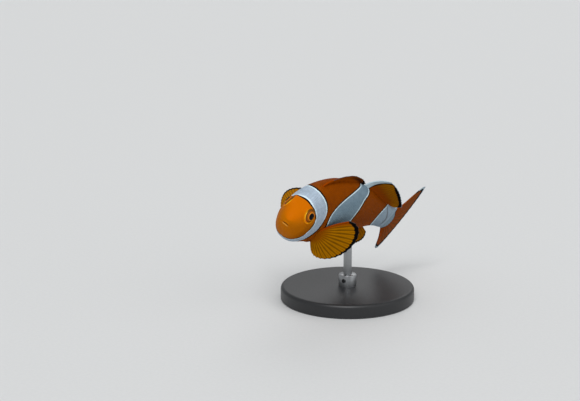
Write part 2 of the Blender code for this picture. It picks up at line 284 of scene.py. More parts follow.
def makeLights():
    for name in ("key", "fill", "back"):
        azimuth, elevation, size, strength = lights[name]
        lamp = addObject(name, bpy.data.lights.new(name, "SUN"))
        lamp.data.angle = math.radians(size)
        lamp.data.energy = strength
        lamp.rotation_euler = (-towards(azimuth, elevation)).to_track_quat("-Z", "Y").to_euler()
    world = bpy.data.worlds.new("studio")
    world.use_nodes = True
    tree = world.node_tree
    room = tree.nodes["Background"]
    setSockets(tree, room, {"Color": lights["roomColour"], "Strength": lights["roomStrength"]})
    wall = addNode(tree, "Background", {}, {
        "Color": lights["backdropColour"], "Strength": lights["backdropStrength"]})
    seen = addNode(tree, "LightPath", {}, {}).outputs["Is Camera Ray"]
    both = addNode(tree, "MixShader", {}, {0: seen, 1: room, 2: wall})
    setSockets(tree, tree.nodes["World Output"], {"Surface": both})
    bpy.context.scene.world = world
    bpy.context.scene.view_settings.view_transform = "Standard"


ground = {
    "radius": 6.0,  # metres
    "edges": 96,
    "roller": 900.0,  # marks to the metre, so each is 1.1 mm across
    "dark": "#D3D4D4",
    "light": "#DADBDB",
    "roughness": 0.75,
}


def makeFloor():
    # Pale painted board: an even matte ground with a trace of roller texture
    paint, tree, shader = newMaterial("paintedBoard")
    place = addNode(tree, "TexCoord", {}, {}).outputs["Object"]
    grain = addNode(tree, "TexNoise", {}, {"Vector": place, "Scale": ground["roller"], "Detail": 3.0})
    tone = addNode(tree, "Mix", rgba, {0: grain, 6: ground["dark"], 7: ground["light"]})
    setSockets(tree, shader, {"Base Color": tone, "Roughness": ground["roughness"]})
    mesh = bpy.data.meshes.new("floor")
    work = bmesh.new()
    bmesh.ops.create_circle(work, cap_ends=True, segments=ground["edges"], radius=ground["radius"])
    work.to_mesh(mesh)
    work.free()
    mesh.materials.append(paint)
    addObject("floor", mesh)


makeCamera()
makeLights()
makeFloor()
print("camera, lights and floor made")


# Markings, all worked out from station and angle, in mm across their edges

bars = {
    "mmPerRadian": 13.0,  # how far one radian round the body is, to turn a slope into a distance
    "lines": (0.64, 0.54, 0.42),  # width of the black line round each bar
    "tones": (0.0, 1.0, 0.45),  # from clean white to slate grey
    # front and rear of the first bar, above and below the side line: station at the back or belly,
    # how much farther back it lies at the side, and how late it turns there
    "headFront": ((0.122, 0.073, 4.0), (0.118, 0.077, 2.0)),
    "headRear": ((0.218, 0.092, 2.4), (0.24, 0.07, 1.6)),
    # front of the second bar: station at the back, where it is foremost and at the belly
    "bodyFront": (0.57, 0.36, 0.50),
    "bodyForemost": 78.0,  # degrees from the back
    # station at the belly, how far back it leans above, and its run on towards the soft fin
    "bodyRear": (0.572, 0.041, 0.036),
    "tailFront": (0.88, 0.045),  # station at the back, and how much farther forward it is at the side
    "tailRear": (0.965, 0.08),
}


def barEdges(angle):  # front and rear station of each white bar
    a = np.abs(wrapped(angle))
    s = np.abs(np.sin(a))
    head = []
    for edge in (bars["headFront"], bars["headRear"]):
        above, below = (start + run * s ** power for start, run, power in edge)
        head.append(np.where(a < np.pi / 2, above, below))
    back, foremost, belly = bars["bodyFront"]
    turn = math.radians(bars["bodyForemost"])
    above = back - (back - foremost) * np.sin(np.pi / 2 * np.minimum(a / turn, 1.0)) ** 2.0
    below = foremost + (belly - foremost) * (np.maximum(a - turn, 0.0) / (np.pi - turn)) ** 1.1
    start, lean, run = bars["bodyRear"]
    bodyRear = start + lean * ease(np.cos(a), -0.25, 0.85) + run * ease(np.cos(a), 0.62, 1.0)
    tailFront = bars["tailFront"][0] - bars["tailFront"][1] * s ** 1.5
    tailRear = bars["tailRear"][0] + bars["tailRear"][1] * s
    return tuple(head), (np.where(a < turn, above, below), bodyRear), (tailFront, tailRear)


def tailCrease(station, angle):  # 1 in the fold of skin that the tail's bend makes on the left side
    degrees = np.degrees(wrapped(angle))
    middle = 0.862 + 0.078 * ease(degrees, 0.0, 105.0)
    window = ease(degrees, 6.0, 22.0) * fade(degrees, 112.0, 140.0)
    return window * hump((station - middle) * body["length"] / mm, 0.0, 0.42)


def markings(station, angle):
    step = 0.01
    scale = body["length"] / mm
    here, after = barEdges(angle), barEdges(angle + step)
    depths = []
    for (front, rear), (frontNext, rearNext) in zip(here, after):
        inside = []
        for sign, edge, edgeNext in ((1, front, frontNext), (-1, rear, rearNext)):
            slope = (edgeNext - edge) / step * scale / bars["mmPerRadian"]
            inside.append(sign * (station - edge) * scale / np.sqrt(1.0 + slope * slope))
        depths.append(np.minimum(*inside))
    depths = np.array(depths)
    nearest = np.argmax(depths, axis=0)
    face = fade(station, 0.16, 0.24)
    up = np.cos(angle)
    return {
        "bar": np.max(depths, axis=0),
        "line": np.array(bars["lines"])[nearest],
        "tone": np.array(bars["tones"])[nearest],
        "face": face,
        "under": ease(-up, 0.1, 0.95),
        # painted highlight: the top of the head is painted brighter than the rest of the face
        "litBrow": ease(up, 0.0, 0.9) * face,
        # painted shade under the jaw and chin
        "shadedJowl": ease(station, 0.07, 0.17) * ease(-up, -0.25, 0.35) * (1.0 - 0.4 * ease(-up, 0.6, 1.0)),
        # painted shade in the fold of skin at the tail's bend
        "creaseShade": tailCrease(station, angle),
    }


# Skin

eye = {
    "station": 0.105,
    "height": 0.052,
    "out": 3.8 * mm,
    "radius": 2.5 * mm,
    "depth": 1.5 * mm,
    "forward": (26.0, 14.0),  # degrees that the left eye and the right eye look forward
    "upward": (22.0, 14.0),
    "lidRise": 0.16 * mm,  # raised rim of skin round the glass
    "lidWidth": 0.30 * mm,
    "socketDepth": 1.3 * mm,
}
mouth = {
    "height": -1.66,  # mm below the middle of the snout
    "frown": 0.13,  # how fast the corners drop, per mm
    "slitHalf": 0.12,
    "slitDepth": 0.36,
    "open": 0.60,  # mm from the middle, as far as the slit is full depth
    "corner": 1.45,  # where the slit has run out; a faint crease goes on to the jaw's hinge
    "hinge": (2.6, 3.6),  # mm behind the snout's tip, where the slit fades
}


def eyeFrame(side):  # middle, line of sight, and the directions back and up across the eye
    centre = np.array([side * eye["out"], eye["station"] * body["length"], eye["height"] * body["length"]])
    look = 0 if side > 0 else 1
    forward, upward = math.radians(eye["forward"][look]), math.radians(eye["upward"][look])
    sight = unit(np.array([side * math.cos(forward), -math.sin(forward), math.tan(upward)]))
    back = unit(np.cross(sight, [0, 0, 1]))
    if back[1] < 0:
        back = -back
    return centre, sight, back, unit(np.cross(back, sight)) * side


def mouthLine(points):  # mm above the mouth's line, and how strong the crease is there
    x, y, z = (points[..., axis] / mm for axis in range(3))
    above = z - (mouth["height"] - mouth["frown"] * x * x)
    strength = fade(np.abs(x), mouth["open"], mouth["corner"]) * fade(y, *mouth["hinge"])
    return above, strength


relief = {  # station, height in mm and width in mm of each small form
    "nostril": (0.052, 52.0, -0.24, 0.22),  # with its angle in degrees after the station
    "nostrilRim": (0.03, 0.46, 0.16),  # height, radius and width
    "cheekGroove": (0.205, -0.16, 0.35),
    "cheekSwell": 0.12,  # in front of the groove
    "coverLip": 0.10,
    "coverSlit": (0.42, 0.24),  # depth and width, behind the gill cover's edge
    "breast": (0.342, 0.75, 1.25),
    "pelvis": (0.398, 0.35, 1.3),
    "lateralLine": 0.05,
    "tailFold": 0.10,
    "snout": 0.03,  # how far the very tip is drawn in
}


def fleshDetail(points, station, angle):  # how far the skin stands out from the plain body, in mm
    a = np.abs(wrapped(angle))
    degrees = np.degrees(a)
    scale = body["length"] / mm
    above, strength = mouthLine(points)
    near = fade(points[..., 1] / mm, 2.6, 4.2)
    # lips, and a furrow above and below them
    lips = 0.12 * hump(above, 0.42, 0.30) + 0.20 * hump(above, -0.42, 0.30)
    lips += -0.05 * hump(above, 1.05, 0.25) - 0.07 * hump(above, -1.05, 0.28)
    rise = lips * (0.15 + 0.85 * strength) * near
    rise -= 0.10 * (1.0 - strength) * near * hump(above, 0.0, 0.16)
    rise -= mouth["slitDepth"] * strength * hump(above, 0.0, mouth["slitHalf"])
    # nostril: one small pit with a raised rim on each side
    place, turn, depth, width = relief["nostril"]
    height, radius, rimWidth = relief["nostrilRim"]
    leftSide = np.where(points[..., :1] < 0, [-1, 1, 1], 1) * points
    nose = np.linalg.norm(leftSide - bodyPoint(np.array(place), np.radians(turn)), axis=-1) / mm
    rise += height * hump(nose, radius, rimWidth) + depth * hump(nose, 0.0, width)
    # cheek: groove in front of the gill cover, with a soft swelling before it
    place, depth, width = relief["cheekGroove"]
    groove = place + 0.022 * np.cos(a * 2.0) - 0.018 * ease(degrees, 120, 165)
    window = ease(degrees, 58, 78) * fade(degrees, 150, 170)
    away = (station - groove) * scale
    rise += window * (relief["cheekSwell"] * hump(away, -1.3, 1.2) + depth * hump(away, 0.0, width))
    # edge of the gill cover: a thin lip with a slit behind it
    depth, width = relief["coverSlit"]
    window = ease(degrees, 45, 65) * fade(degrees, 158, 172)
    away = (station - gillEdge(a) + 0.006) * scale
    rise += window * (relief["coverLip"] * ease(away, -2.0, -0.25) * fade(away, -0.12, 0.12))
    rise -= window * depth * hump(away, 0.30, width)
    # fleshy shoulder of each breast fin and belly fin
    place, height, width = relief["breast"]
    breast = fade(np.abs(degrees - 112.5), 13.0, 22.0) * hump((station - place) * scale, 0.0, width)
    rise += height * breast
    place, height, width = relief["pelvis"]
    rise += height * hump((station - place) * scale, 0.0, width) * hump(degrees, 156.0, 9.0)
    # fold at the tail, lateral line and snout
    rise -= relief["tailFold"] * tailCrease(station, angle)
    lateral = hump(degrees, 62.0 + 14.0 * ease(station, 0.6, 0.85), 1.6) * ease(station, 0.33, 0.36)
    rise -= relief["lateralLine"] * lateral
    rise -= relief["snout"] * fade(station, 0.01, 0.06)
    return rise


def skinFrame(station, angle):  # places on the plain body, and the outward direction there
    small, turn = 2e-4, 1e-3
    here = bodyPoint(station, angle, body["coat"])
    along = bodyPoint(station + small, angle) - bodyPoint(np.maximum(station - small, 0.0), angle)
    around = bodyPoint(station, angle + turn) - bodyPoint(station, angle - turn)
    return here, unit(np.cross(around, along))


def socketPush(points):  # draws the skin up to a ring round each eye, and sinks it behind the glass
    for side in (1, -1):
        centre, sight, back, up = eyeFrame(side)
        away = points - centre
        deep = away @ sight
        onSide = ease(deep, -2.6 * mm, -1.2 * mm)
        r = np.hypot(away @ back, away @ up)
        rim = eye["depth"] * 0.30 + eye["lidRise"] * hump(r, 1.06 * eye["radius"], eye["lidWidth"])
        draw = fade(r, 1.04 * eye["radius"], 1.62 * eye["radius"])
        level = (rim - deep) * draw
        sink = eye["socketDepth"] * fade(r, 0.82 * eye["radius"], 0.98 * eye["radius"])
        groove = 0.12 * mm * hump(r, 1.34 * eye["radius"], 0.10 * eye["radius"])
        points = points + sight * ((level - sink - groove) * onSide)[..., None]
    return points


def skinPoint(station, angle, lift=0.0):
    plain, outward = skinFrame(station, angle)
    rise = fleshDetail(plain, station, angle) * mm + lift
    return socketPush(plain + outward * rise[..., None])


def ringStations():
    fine = np.linspace(0.0, 1.0, 6000) ** 2.5 * (body["tail"] + 0.004)
    _, height, _ = section(fine)
    arc = np.concatenate([[0.0], np.cumsum(np.hypot(np.diff(fine) * body["length"], np.diff(height)))])
    marks, here = [], 0.05 * mm
    while here < arc[-1] - 0.05 * mm:
        marks.append(here)
        here += (0.085 + 0.285 * ease(here, 3.5 * mm, 14 * mm)) * mm
    return np.interp(marks + [arc[-1]], arc, fine)


def makeSkin(material):
    around = 260
    stations = ringStations()
    angles = np.arange(around) * 2 * np.pi / around
    station, angle = np.meshgrid(stations, angles, indexing="ij")
    rest = skinPoint(station, angle).reshape(-1, 3)
    first = rest[:around].mean(axis=0) - [0, 0.004 * mm, 0]
    last = rest[-around:].mean(axis=0) + [0, 0.05 * mm, 0]
    rest = np.vstack([rest, first, last])
    station = np.append(station.ravel(), [0.0, stations[-1]])
    angle = np.append(angle.ravel(), [np.pi / 2, np.pi / 2])
    faces = ringFaces(len(stations), around) + poleFaces(len(stations), around)
    marks = markings(station, angle)
    above, strength = mouthLine(rest)
    # painted shade in the mouth's slit
    marks["slitShade"] = strength * hump(above, 0.0, 0.17) * fade(rest[:, 1] / mm, 3.0, 3.4)
    # painted highlight on the lower lip, under the mouth's line
    marks["lip"] = strength * hump(above, -0.40, 0.30)
    marks["rest"] = rest / mm
    marks["lid"] = lidDistance(rest)
    return addPiece("skin", posed(rest), faces, material, "orange_skin", (
        "head", "lower_jaw", "gill_cover_left", "gill_cover_right", "trunk", "tail_stalk"), marks=marks)


def lidDistance(rest):  # mm from the rim of the nearer eye, and large away from both
    nearest = np.full(len(rest), 9.0)
    for side in (1, -1):
        centre, sight, back, up = eyeFrame(side)
        away = rest - centre
        r = np.hypot(away @ back, away @ up) / mm
        # the painted highlight on the rim fades out behind the eye
        r = r + 0.28 * ease((away @ back - away @ up) / mm, -0.6, 2.2)
        r = np.where(away @ sight > -1.5 * mm, r - eye["radius"] / mm, 9.0)
        nearest = np.minimum(nearest, r)
    return nearest


skinPaint = {
    "flankDark": "#783600",
    "flankLight": "#904500",
    "underside": "#B25A06",
    "cheekDark": "#B26202",
    "cheekLight": "#C06E02",
    # painted highlight on the top of the head
    "litBrow": "#CA6A00",
    # painted shade under the jaw
    "shadedJowl": "#7C3E00",
    "specks": "#5A2300",
    "barClean": "#B0BFCF",
    "barSlate": "#748A98",
    "barMottle": "#8FA2AE",
    "barRim": "#DDF0F6",
    # painted shade in the tail's fold, over the white bar
    "barFoldShade": "#55504C",
    "blackLine": "#0B0908",
    "scaleEdge": "#2A1608",
    # painted highlight on the lower lip
    "lowerLipHighlight": "#D99438",
    # painted highlight on the skin round the front of each eye
    "eyeRimHighlight": "#F0A010",
    # painted shade in the mouth's slit
    "mouthSlitShade": "#3A1804",
    "gloss": 0.018,
}


def skinMaterial(name, scaled):
    # Fish skin under a thin clear varnish, as a painted museum cast has: burnt orange flanks, a
    # brighter face, and white bars with a clean pale rim inside a fine black line; with painted highlight on
    # the top of the head, the lower lip and the eye's rim, and painted shade under the jaw, in the mouth's
    # slit and in the tail's fold
    made, tree, shader = newMaterial(name)
    keys = ("bar", "line", "tone", "face", "under", "litBrow", "shadedJowl", "creaseShade")
    keys += ("tip", "tint") if scaled else ("slitShade", "lip", "lid")
    read = {key: addNode(tree, "Attribute", {"attribute_name": key}, {}).outputs["Fac"] for key in keys}
    place = addNode(tree, "Attribute", {"attribute_name": "rest"}, {}).outputs["Vector"]
    # cloudy patches of 3 mm, mottling of 0.3 mm, and a grain of 0.15 mm that is coarser than a fish's
    # pores are, so that it shows
    broad, fine, pores = (
        addNode(tree, "TexNoise", {}, {"Vector": place, "Scale": scale, "Detail": detail})
        for scale, detail in ((0.30, 3.0), (3.2, 2.0), (7.0, 2.0)))
    specks = addNode(tree, "TexVoronoi", {}, {"Vector": place, "Scale": 5.5})
    flank = addNode(tree, "Mix", rgba, {0: broad, 6: skinPaint["flankDark"], 7: skinPaint["flankLight"]})
    underside = addNode(tree, "Math", times, {0: read["under"], 1: 0.55})
    flank = addNode(tree, "Mix", rgba, {0: underside, 6: flank, 7: skinPaint["underside"]})
    cheek = addNode(tree, "Mix", rgba, {0: broad, 6: skinPaint["cheekDark"], 7: skinPaint["cheekLight"]})
    # painted shade under the jaw, at a little over half strength
    shadedJowl = addNode(tree, "Math", times, {0: read["shadedJowl"], 1: 0.55})
    # painted highlight on the top of the head and painted shade under the jaw, over the face's orange
    for amount, tone in ((read["litBrow"], "litBrow"), (shadedJowl, "shadedJowl")):
        cheek = addNode(tree, "Mix", rgba, {0: amount, 6: cheek, 7: skinPaint[tone]})
    orange = addNode(tree, "Mix", rgba, {0: read["face"], 6: flank, 7: cheek})
    dusk = addNode(tree, "MapRange", {}, {"Value": specks, "From Min": 0.1, "From Max": 0.7, "To Max": 0.07})
    # white bars
    jitter = addNode(tree, "Math", timesPlus, {0: fine, 1: 0.16, 2: -0.08})
    depth = addNode(tree, "Math", plus, {0: read["bar"], 1: jitter})
    outer = addNode(tree, "Math", plus, {0: depth, 1: read["line"]})
    black, rim, inner = (
        addNode(tree, "MapRange", smooth, {"Value": value, "From Min": start, "From Max": stop})
        for value, start, stop in ((outer, -0.16, 0.06), (depth, -0.06, 0.06), (depth, 0.20, 0.85)))
    white = addNode(tree, "Mix", rgba, {0: read["tone"], 6: skinPaint["barClean"], 7: skinPaint["barSlate"]})
    mottle = addNode(tree, "MapRange", {}, {
        "Value": broad, "From Min": 0.35, "From Max": 0.7, "To Max": 0.35})
    white = addNode(tree, "Mix", rgba, {0: mottle, 6: white, 7: skinPaint["barMottle"]})
    bar = addNode(tree, "Mix", rgba, {0: inner, 6: skinPaint["barRim"], 7: white})
    # painted shade in the fold of skin at the tail's bend, darkening the white bar
    foldShade = addNode(tree, "Math", times, {0: read["creaseShade"], 1: 0.75})
    bar = addNode(tree, "Mix", rgba, {0: foldShade, 6: bar, 7: skinPaint["barFoldShade"]})
    # from the orange outwards
    layers = [(dusk, skinPaint["specks"]), (black, skinPaint["blackLine"]), (rim, bar)]
    if scaled:  # each scale is a little darker at its free edge
        edge = addNode(tree, "MapRange", smooth, {"Value": read["tip"], "From Min": 0.72, "To Max": 0.16})
        layers += [(edge, skinPaint["scaleEdge"])]
    else:  # painted highlight on the lower lip and on the rim round the eye, and painted shade in the mouth's slit
        # painted highlight on the rim of skin round each eye, strongest next to the glass
        lid = addNode(tree, "MapRange", smooth, {
            "Value": read["lid"], "From Min": 0.15, "From Max": 0.42, "To Min": 1.0, "To Max": 0.0})
        lid = addNode(tree, "Math", times, {0: lid, 1: 0.7})
        layers += [(read["lip"], skinPaint["lowerLipHighlight"]), (lid, skinPaint["eyeRimHighlight"])]
        # painted shade in the mouth's slit, laid over the rest
        layers += [(read["slitShade"], skinPaint["mouthSlitShade"])]
    colour = orange
    for amount, above in layers:
        colour = addNode(tree, "Mix", rgba, {0: amount, 6: colour, 7: above})
    if scaled:  # and no two scales quite match
        vary = addNode(tree, "MapRange", {}, {"Value": read["tint"], "To Min": 0.93, "To Max": 1.07})
        colour = addNode(tree, "HueSaturation", {}, {"Value": vary, "Color": colour})
    rough = addNode(tree, "MapRange", {}, {"Value": fine, "To Min": 0.46, "To Max": 0.60})
    bump = addNode(tree, "Bump", {}, {"Strength": 0.2, "Distance": 0.03 * mm, "Height": pores})
    setSockets(tree, shader, {
        "Base Color": colour, "Roughness": rough, "Normal": bump, "Specular IOR Level": skinPaint["gloss"]})
    return made


skin = makeSkin(skinMaterial("fishSkin", scaled=False))
print("skin made,", len(skin.data.polygons), "faces")


# Scales

scales = {
    # slot, first and last station, mm from row to row and column to column, and seed of its draws
    "cheek": ("orange_skin", 0.095, 0.32, 0.48, 0.56, 11),
    "flank": ("orange_skin", 0.115, 0.82, 0.64, 0.76, 12),
    "stalk": ("white_skin", 0.8235, 0.972, 0.64, 0.76, 13),
    "corners": 12,  # round the rim of a scale
    "overlap": 1.9,  # length of a scale, in row steps
    "width": 1.12,  # width of a scale, in column steps
    "rootLift": -0.05,  # mm over the skin, as are the next three
    "tipLift": 0.055,
    "thickness": 0.035,
    "dome": 0.02,
    "leastFullness": 0.45,  # of the usual fullness, below which a crushed scale is left out
    "patch": 0.003,  # size of one scale on the baking map
}


def girthTable():  # angle of each place that lies so many mm round the body from its side line
    stations = np.linspace(0.0, 1.0, 401)
    angles = np.radians(np.linspace(-25.0, 205.0, 461))
    points = bodyPoint(stations[:, None], angles[None, :])
    steps = np.linalg.norm(np.diff(points, axis=1), axis=-1) / mm
    arc = np.concatenate([np.zeros((len(stations), 1)), np.cumsum(steps, axis=1)], axis=1)
    side = np.array([np.interp(np.pi / 2, angles, row) for row in arc])
    arc = arc - side[:, None]
    reach = np.linspace(-30.0, 30.0, 601)
    table = np.array([np.interp(reach, row, angles) for row in arc])
    return stations, reach, table


girth = girthTable()


def angleAt(station, around):
    stations, reach, table = girth
    row = np.clip(station * (len(stations) - 1), 0, len(stations) - 1.001)
    column = np.clip((around - reach[0]) / (reach[1] - reach[0]), 0, len(reach) - 1.001)
    r, c = row.astype(int), column.astype(int)
    fr, fc = row - r, column - c
    low = table[r, c] * (1 - fc) + table[r, c + 1] * fc
    high = table[r + 1, c] * (1 - fc) + table[r + 1, c + 1] * fc
    return low * (1 - fr) + high * fr


def scaleTemplate():  # narrow root, full width past the middle, evenly rounded free edge
    count = scales["corners"]
    turn = np.linspace(0, 2 * np.pi, count, endpoint=False)
    across = 0.5 * np.sin(turn) * (1.0 + 0.10 * np.cos(turn))
    along = 0.5 - 0.5 * np.cos(turn) * (1.0 - 0.10 * np.sin(turn) ** 2)
    inner = 0.55
    across = np.concatenate([[0.0], across * inner, across, across])
    along = np.concatenate([[0.56], 0.56 + (along - 0.56) * inner, along, along])
    layer = np.concatenate([np.ones(1 + 2 * count), np.zeros(count)])
    dome = np.concatenate([[1.0], np.full(count, 0.75), np.zeros(2 * count)])
    faces = []
    for here in range(1, 1 + count):
        after = here % count + 1
        faces.append((0, after, here))
        for low in (0, count):
            faces.append((low + here, low + after, low + after + count, low + here + count))
    faces.append(tuple(range(3 * count, 2 * count, -1)))
    return across, along, layer, dome, faces


def scaleRoots(first, last, rowStep, columnStep, side):
    places = []
    for row, station in enumerate(np.arange(first, last, rowStep * mm / body["length"])):
        around = (np.arange(-45, 46) + (0.5 if row % 2 else 0.0)) * columnStep
        angle = angleAt(np.full(len(around), station), around)
        keep = (angle > math.radians(-1.0)) & (angle < math.radians(181.0))
        places.append(np.stack([np.full(keep.sum(), station), around[keep]], axis=-1))
    station, around = np.vstack(places).T
    return station, around, angleAt(station, around) * side


def wellFormed(rest, template):  # false for a scale that a fold of the skin would crush or turn inside out
    corners = np.array([
        (face[0], face[k], face[k + 1]) for face in template for k in range(1, len(face) - 1)])
    away = rest - rest.mean(axis=1, keepdims=True)
    a, b, c = (away[:, corners[:, k]] for k in range(3))
    volume = np.einsum("nij,nij->n", a, np.cross(b, c))
    fullness = volume / np.linalg.norm(np.cross(b - a, c - a), axis=-1).sum(axis=1)
    return fullness / np.median(fullness) > scales["leastFullness"]


def scalePiece(name, part, material, side, keep):
    slot, first, last, rowStep, columnStep, seed = scales[part]
    across, along, layer, dome, template = scaleTemplate()
    station, around, angle = scaleRoots(first, last, rowStep, columnStep, side)
    rng = np.random.default_rng(seed)
    chance = rng.random(len(station))
    size = 1.0 + 0.10 * (rng.random(len(station)) - 0.5)
    wanted = keep(station, angle)
    station, around, angle, chance, size = (
        each[wanted] for each in (station, around, angle, chance, size))
    size = size * (1.0 - 0.25 * ease(station, 0.78, 0.95))
    length = rowStep * scales["overlap"] * size
    width = columnStep * scales["width"] * size
    t = station[:, None] + along * length[:, None] / (body["length"] / mm)
    a = angleAt(t, around[:, None] + across * width[:, None]) * side
    t = np.minimum(t, body["tail"])
    rise = scales["rootLift"] + (scales["tipLift"] - scales["rootLift"]) * along
    rise = rise + scales["thickness"] * layer + scales["dome"] * dome
    rest = skinPoint(t, a, rise * mm + 0 * t)
    sound = wellFormed(rest, template)
    rest, t, a, station, angle, chance = (each[sound] for each in (rest, t, a, station, angle, chance))
    marks = markings(t.ravel(), a.ravel())
    marks["rest"] = (rest / mm).reshape(-1, 3)
    marks["tip"] = np.tile(np.maximum(along, np.abs(across) * 1.6) * (layer > 0), len(station))
    marks["tint"] = np.repeat(chance, len(along))
    root = 0.01 + 0.98 * np.stack([(angle / (2 * np.pi)) % 1.0, station], axis=-1)
    patch = np.stack([across, along - 0.5], axis=-1) * scales["patch"]
    uv = (root[:, None, :] + patch).reshape(-1, 2)
    corners, faces = len(along), []
    for i in range(len(station)):
        faces += [tuple(i * corners + corner for corner in face[::side]) for face in template]
    return addPiece(name, posed(rest.reshape(-1, 3)), faces, material, slot, marks=marks, uv=uv)


def clearOfFeatures(station, angle):
    rest = bodyPoint(station, angle)
    clear = lidDistance(rest) > 1.0
    degrees = np.degrees(np.abs(angle))
    breast = (np.abs(degrees - 112.5) < 15) & (np.abs(station - relief["breast"][0] + 0.002) < 0.016)
    pelvis = (np.abs(degrees - 156) < 7) & (np.abs(station - relief["pelvis"][0] + 0.002) < 0.016)
    return clear & ~breast & ~pelvis


def onCover(station, angle):  # cheek and gill cover, up to the cover's edge
    a = np.abs(angle)
    return clearOfFeatures(station, angle) & (a > math.radians(46)) & (station < gillEdge(a) - 0.026)


def onBody(station, angle):  # everything behind the gill cover, and the nape above it
    a = np.abs(angle)
    nape = (a <= math.radians(46)) & (station > 0.115)
    behind = station > gillEdge(a) - 0.001
    return clearOfFeatures(station, angle) & (nape | behind)


def makeScales(material):
    total = 0
    for side, word in ((1, "left"), (-1, "right")):
        for part, keep in (("cheek", onCover), ("flank", onBody), ("stalk", onBody)):
            piece = scalePiece("scales_" + part + "_" + word, part, material, side, keep)
            total += len(piece.data.polygons)
    print("scales made,", total, "faces")


makeScales(skinMaterial("scaledSkin", scaled=True))


# Eyes

iris = {
    "pupil": 1.22,  # mm, as are all radii here
    "gold": 1.42,
    "brown": 1.92,
    "olive": 2.22,
    "pupilColour": "#040404",
    "goldColour": "#DC861A",
    "brownDark": "#6A3006",
    "brownLight": "#B4640E",
    "oliveColour": "#5E3A0C",
    # painted shade under the rim
    "rimShadedUnder": "#7A4A0C",
    # painted highlight on the front of the rim
    "rimLitFront": "#F2B41C",
    "rimTop": "#E87B12",
    "dome": 0.10 * mm,  # how far the clear front stands out
    "glaze": 0.2,
}


def eyeMaterial():
    # Glass eye, lamp-blown: black pupil in a thin gold ring, brown iris and an olive outer ring, with
    # painted highlight on the rim at the front and painted shade under it
    made, tree, shader = newMaterial("blownGlassEye")
    keys = ("r", "front", "top", "spoke")
    read = {key: addNode(tree, "Attribute", {"attribute_name": key}, {}) for key in keys}
    r, front, top = (read[key].outputs["Fac"] for key in keys[:3])
    streaks = addNode(tree, "TexNoise", {}, {
        "Vector": read["spoke"].outputs["Vector"], "Scale": 1.0, "Detail": 3.0})
    brown = addNode(tree, "Mix", rgba, {0: streaks, 6: iris["brownDark"], 7: iris["brownLight"]})
    step = {}  # each ring's outer edge, and how soft it is inwards and outwards, in mm
    for ring, inwards, outwards in (
            ("pupil", 0.05, 0.05), ("gold", 0.06, 0.10), ("brown", 0.12, 0.12), ("olive", 0.14, 0.06)):
        step[ring] = addNode(tree, "MapRange", smooth, {
            "Value": r, "From Min": iris[ring] - inwards, "From Max": iris[ring] + outwards})
    # painted highlight at the front of the rim and painted shade under and behind it
    rim = addNode(tree, "Mix", rgba, {0: top, 6: iris["rimLitFront"], 7: iris["rimTop"]})
    rim = addNode(tree, "Mix", rgba, {0: front, 6: iris["rimShadedUnder"], 7: rim})
    colour = addNode(tree, "Mix", rgba, {0: step["gold"], 6: iris["goldColour"], 7: brown})
    colour = addNode(tree, "Mix", rgba, {0: step["pupil"], 6: iris["pupilColour"], 7: colour})
    colour = addNode(tree, "Mix", rgba, {0: step["brown"], 6: colour, 7: iris["oliveColour"]})
    colour = addNode(tree, "Mix", rgba, {0: step["olive"], 6: colour, 7: rim})
    setSockets(tree, shader, {
        "Base Color": colour, "Roughness": 0.6, "Specular IOR Level": 0.0,
        "Coat Weight": iris["glaze"], "Coat Roughness": 0.03, "Coat IOR": 1.45})
    return made


def makeEye(side, word, material):
    around, layers = 72, 44
    centre, sight, back, up = eyeFrame(side)
    polar = np.linspace(0.0, np.pi, layers + 1)[1:-1]
    turn = np.arange(around) * 2 * np.pi / around
    p, a = np.meshgrid(polar, turn, indexing="ij")
    r = eye["radius"] * np.sin(p)
    deep = eye["depth"] * np.cos(p)
    deep = deep + iris["dome"] * fade(r, 0.9 * mm, 1.9 * mm) * (p < np.pi / 2)
    points = centre + sight * deep[..., None] + back * (r * np.cos(a))[..., None]
    points = (points + up * (r * np.sin(a))[..., None]).reshape(-1, 3)
    poles = [centre + sight * (eye["depth"] + iris["dome"]), centre - sight * eye["depth"]]
    points = np.vstack([points, poles])
    faces = [face[::side] for face in ringFaces(len(polar), around) + poleFaces(len(polar), around)]
    r = np.append(r.ravel() / mm, [0.0, 0.0])
    r = np.where(np.append((p < np.pi / 2).ravel(), [True, False]), r, 3.0)
    a = np.append(a.ravel(), [0.0, 0.0])
    marks = {
        "r": r,
        # which way each point of the rim faces, for its painted highlight and painted shade
        "front": ease(-np.cos(a) + 0.6 * np.sin(a), 0.2, 0.9),
        "top": ease(np.sin(a), 0.2, 0.9),
        "spoke": stack(np.cos(a) * 7.0, np.sin(a) * 7.0, r * 0.8),
    }
    addPiece("eye_glass_" + word, posed(points), faces, material, "eyes", ("eye_" + word,), marks=marks)


eyeGlass = eyeMaterial()
makeEye(1, "left", eyeGlass)
makeEye(-1, "right", eyeGlass)
print("eyes made")


# Fins: thin sheets with raised rays, dark membrane between them and a black margin

def ridgePoint(station, sign):
    middle, height, _ = section(station)
    return stack(0.0, station * body["length"], middle + sign * (height + body["gap"]))


def medianSheet(sign, span, rise, lean):
    def middle(across, out, length):
        tilt = np.radians(rise(across))
        beyond = np.maximum(out, 0.0)
        tip = np.radians(lean(across)) * beyond
        ray = stack(np.sin(tilt) * np.sin(tip), np.cos(tilt), sign * np.sin(tilt) * np.cos(tip))
        root = ridgePoint(span[0] + (span[1] - span[0]) * across, sign)
        root = root + stack(0.0, 0.0, sign * np.minimum(out, 0.0) * 10 * mm)  # straight down into the flesh
        return root + ray * (length(across) * beyond)[..., None]
    return middle


def settled(sheet):  # lets the last rays lie on the tail stalk
    def middle(across, out, length):
        sag = ease(across, 0.80, 1.0) * np.sin(np.pi * np.clip(0.08 + 0.80 * out, 0.0, 1.0))
        return sheet(across, out, length) - stack(0.0, 0.0, finSize["softSag"] * sag)
    return middle


def rounded(across, front, rear, power):
    away = 2 * across - 1
    end = np.where(away < 0, front, rear)
    return 1 - (1 - end) * np.abs(away) ** power


